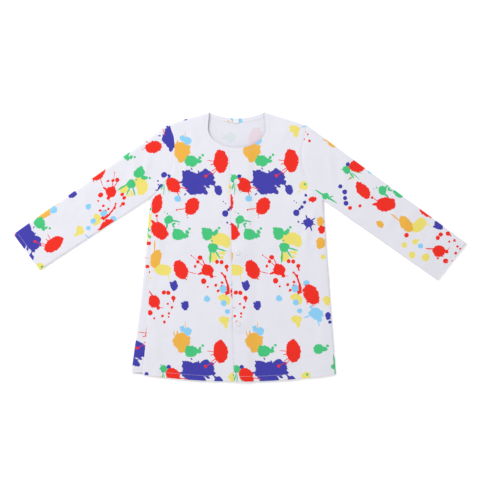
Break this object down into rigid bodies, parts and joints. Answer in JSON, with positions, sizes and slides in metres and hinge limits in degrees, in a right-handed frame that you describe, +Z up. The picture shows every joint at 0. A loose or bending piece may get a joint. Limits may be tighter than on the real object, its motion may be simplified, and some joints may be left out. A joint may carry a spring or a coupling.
{
  "type": "artist smock",
  "caption": "Child's long-sleeved artist's smock with a collarless neck and a snap-closed front, laid out flat, with a paint-splash print.",
  "frame": {"origin": "under the middle of the laid-out smock, on the surface it lies on", "axes": "+X towards the wearer's left cuff, +Y towards the neck, +Z up from the surface, face up"},
  "size_m": [0.996, 0.592, 0.0122],
  "materials": {
    "printed_cloth": "matt plain weave, white with a paint-splash print",
    "thread": "matt spun thread",
    "snap_plastic": "glossy white moulded plastic",
    "label_tape": "smooth woven tape, blank"
  },
  "bodies": {
    "garment": {"back_hem_stitches": "thread", "back_neck_facing": "printed_cloth", "back_neck_stitches": "thread", "back_panel": "printed_cloth", "left_front_side": "printed_cloth", "left_hem_stitches_side": "thread", "left_neck_facing_upper": "printed_cloth", "left_neck_stitches_upper": "thread", "left_sleeve_cap": "printed_cloth", "right_front_side": "printed_cloth", "right_hem_stitches_side": "thread", "right_neck_facing_upper": "printed_cloth", "right_neck_stitches_upper": "thread", "right_sleeve_cap": "printed_cloth"},
    "left_front": {"left_front_flap": "printed_cloth", "left_hem_stitches_flap": "thread", "left_neck_facing_lower": "printed_cloth", "left_neck_stitches_lower": "thread", "left_placket_facing": "printed_cloth", "snap_cap_1": "snap_plastic", "snap_cap_2": "snap_plastic", "snap_cap_3": "snap_plastic", "snap_socket_1": "snap_plastic", "snap_socket_2": "snap_plastic", "snap_socket_3": "snap_plastic"},
    "right_front": {"right_front_flap": "printed_cloth", "right_hem_stitches_flap": "thread", "right_neck_facing_lower": "printed_cloth", "right_neck_stitches_lower": "thread", "right_placket_facing": "printed_cloth", "snap_back_cap_1": "snap_plastic", "snap_back_cap_2": "snap_plastic", "snap_back_cap_3": "snap_plastic", "snap_stud_1": "snap_plastic", "snap_stud_2": "snap_plastic", "snap_stud_3": "snap_plastic"},
    "left_sleeve_body": {"left_sleeve_front": "printed_cloth", "left_sleeve_back": "printed_cloth", "left_cuff_stitches": "thread"},
    "right_sleeve_body": {"right_sleeve_front": "printed_cloth", "right_sleeve_back": "printed_cloth", "right_cuff_stitches": "thread"},
    "label": {"neck_label": "label_tape"}
  },
  "joints": [
    {"name": "left_front_fold", "type": "hinge", "parent": "garment", "child": "left_front", "pos_m": [0.053, -0.02, 0.00665], "axis": [0, 1, 0], "range_deg": [0, 170]},
    {"name": "right_front_fold", "type": "hinge", "parent": "garment", "child": "right_front", "pos_m": [-0.067, -0.02, 0.00665], "axis": [0, -1, 0], "range_deg": [0, 102]},
    {"name": "left_sleeve_fold", "type": "hinge", "parent": "garment", "child": "left_sleeve_body", "pos_m": [0.166, 0.1845, 0.00665], "axis": [0.2042, -0.9789, 0], "range_deg": [0, 110]},
    {"name": "right_sleeve_fold", "type": "hinge", "parent": "garment", "child": "right_sleeve_body", "pos_m": [-0.1765, 0.1895, 0.00665], "axis": [0.2468, 0.9691, 0], "range_deg": [0, 110]},
    {"name": "neck_label_flip", "type": "hinge", "parent": "garment", "child": "label", "pos_m": [-0.009, 0.2831, 0.00205], "axis": [-1, 0, 0], "range_deg": [0, 170]}
  ],
  "couplings": [
    {"joint": "right_front_fold", "follows": "left_front_fold", "ratio": 0.6}
  ]
}
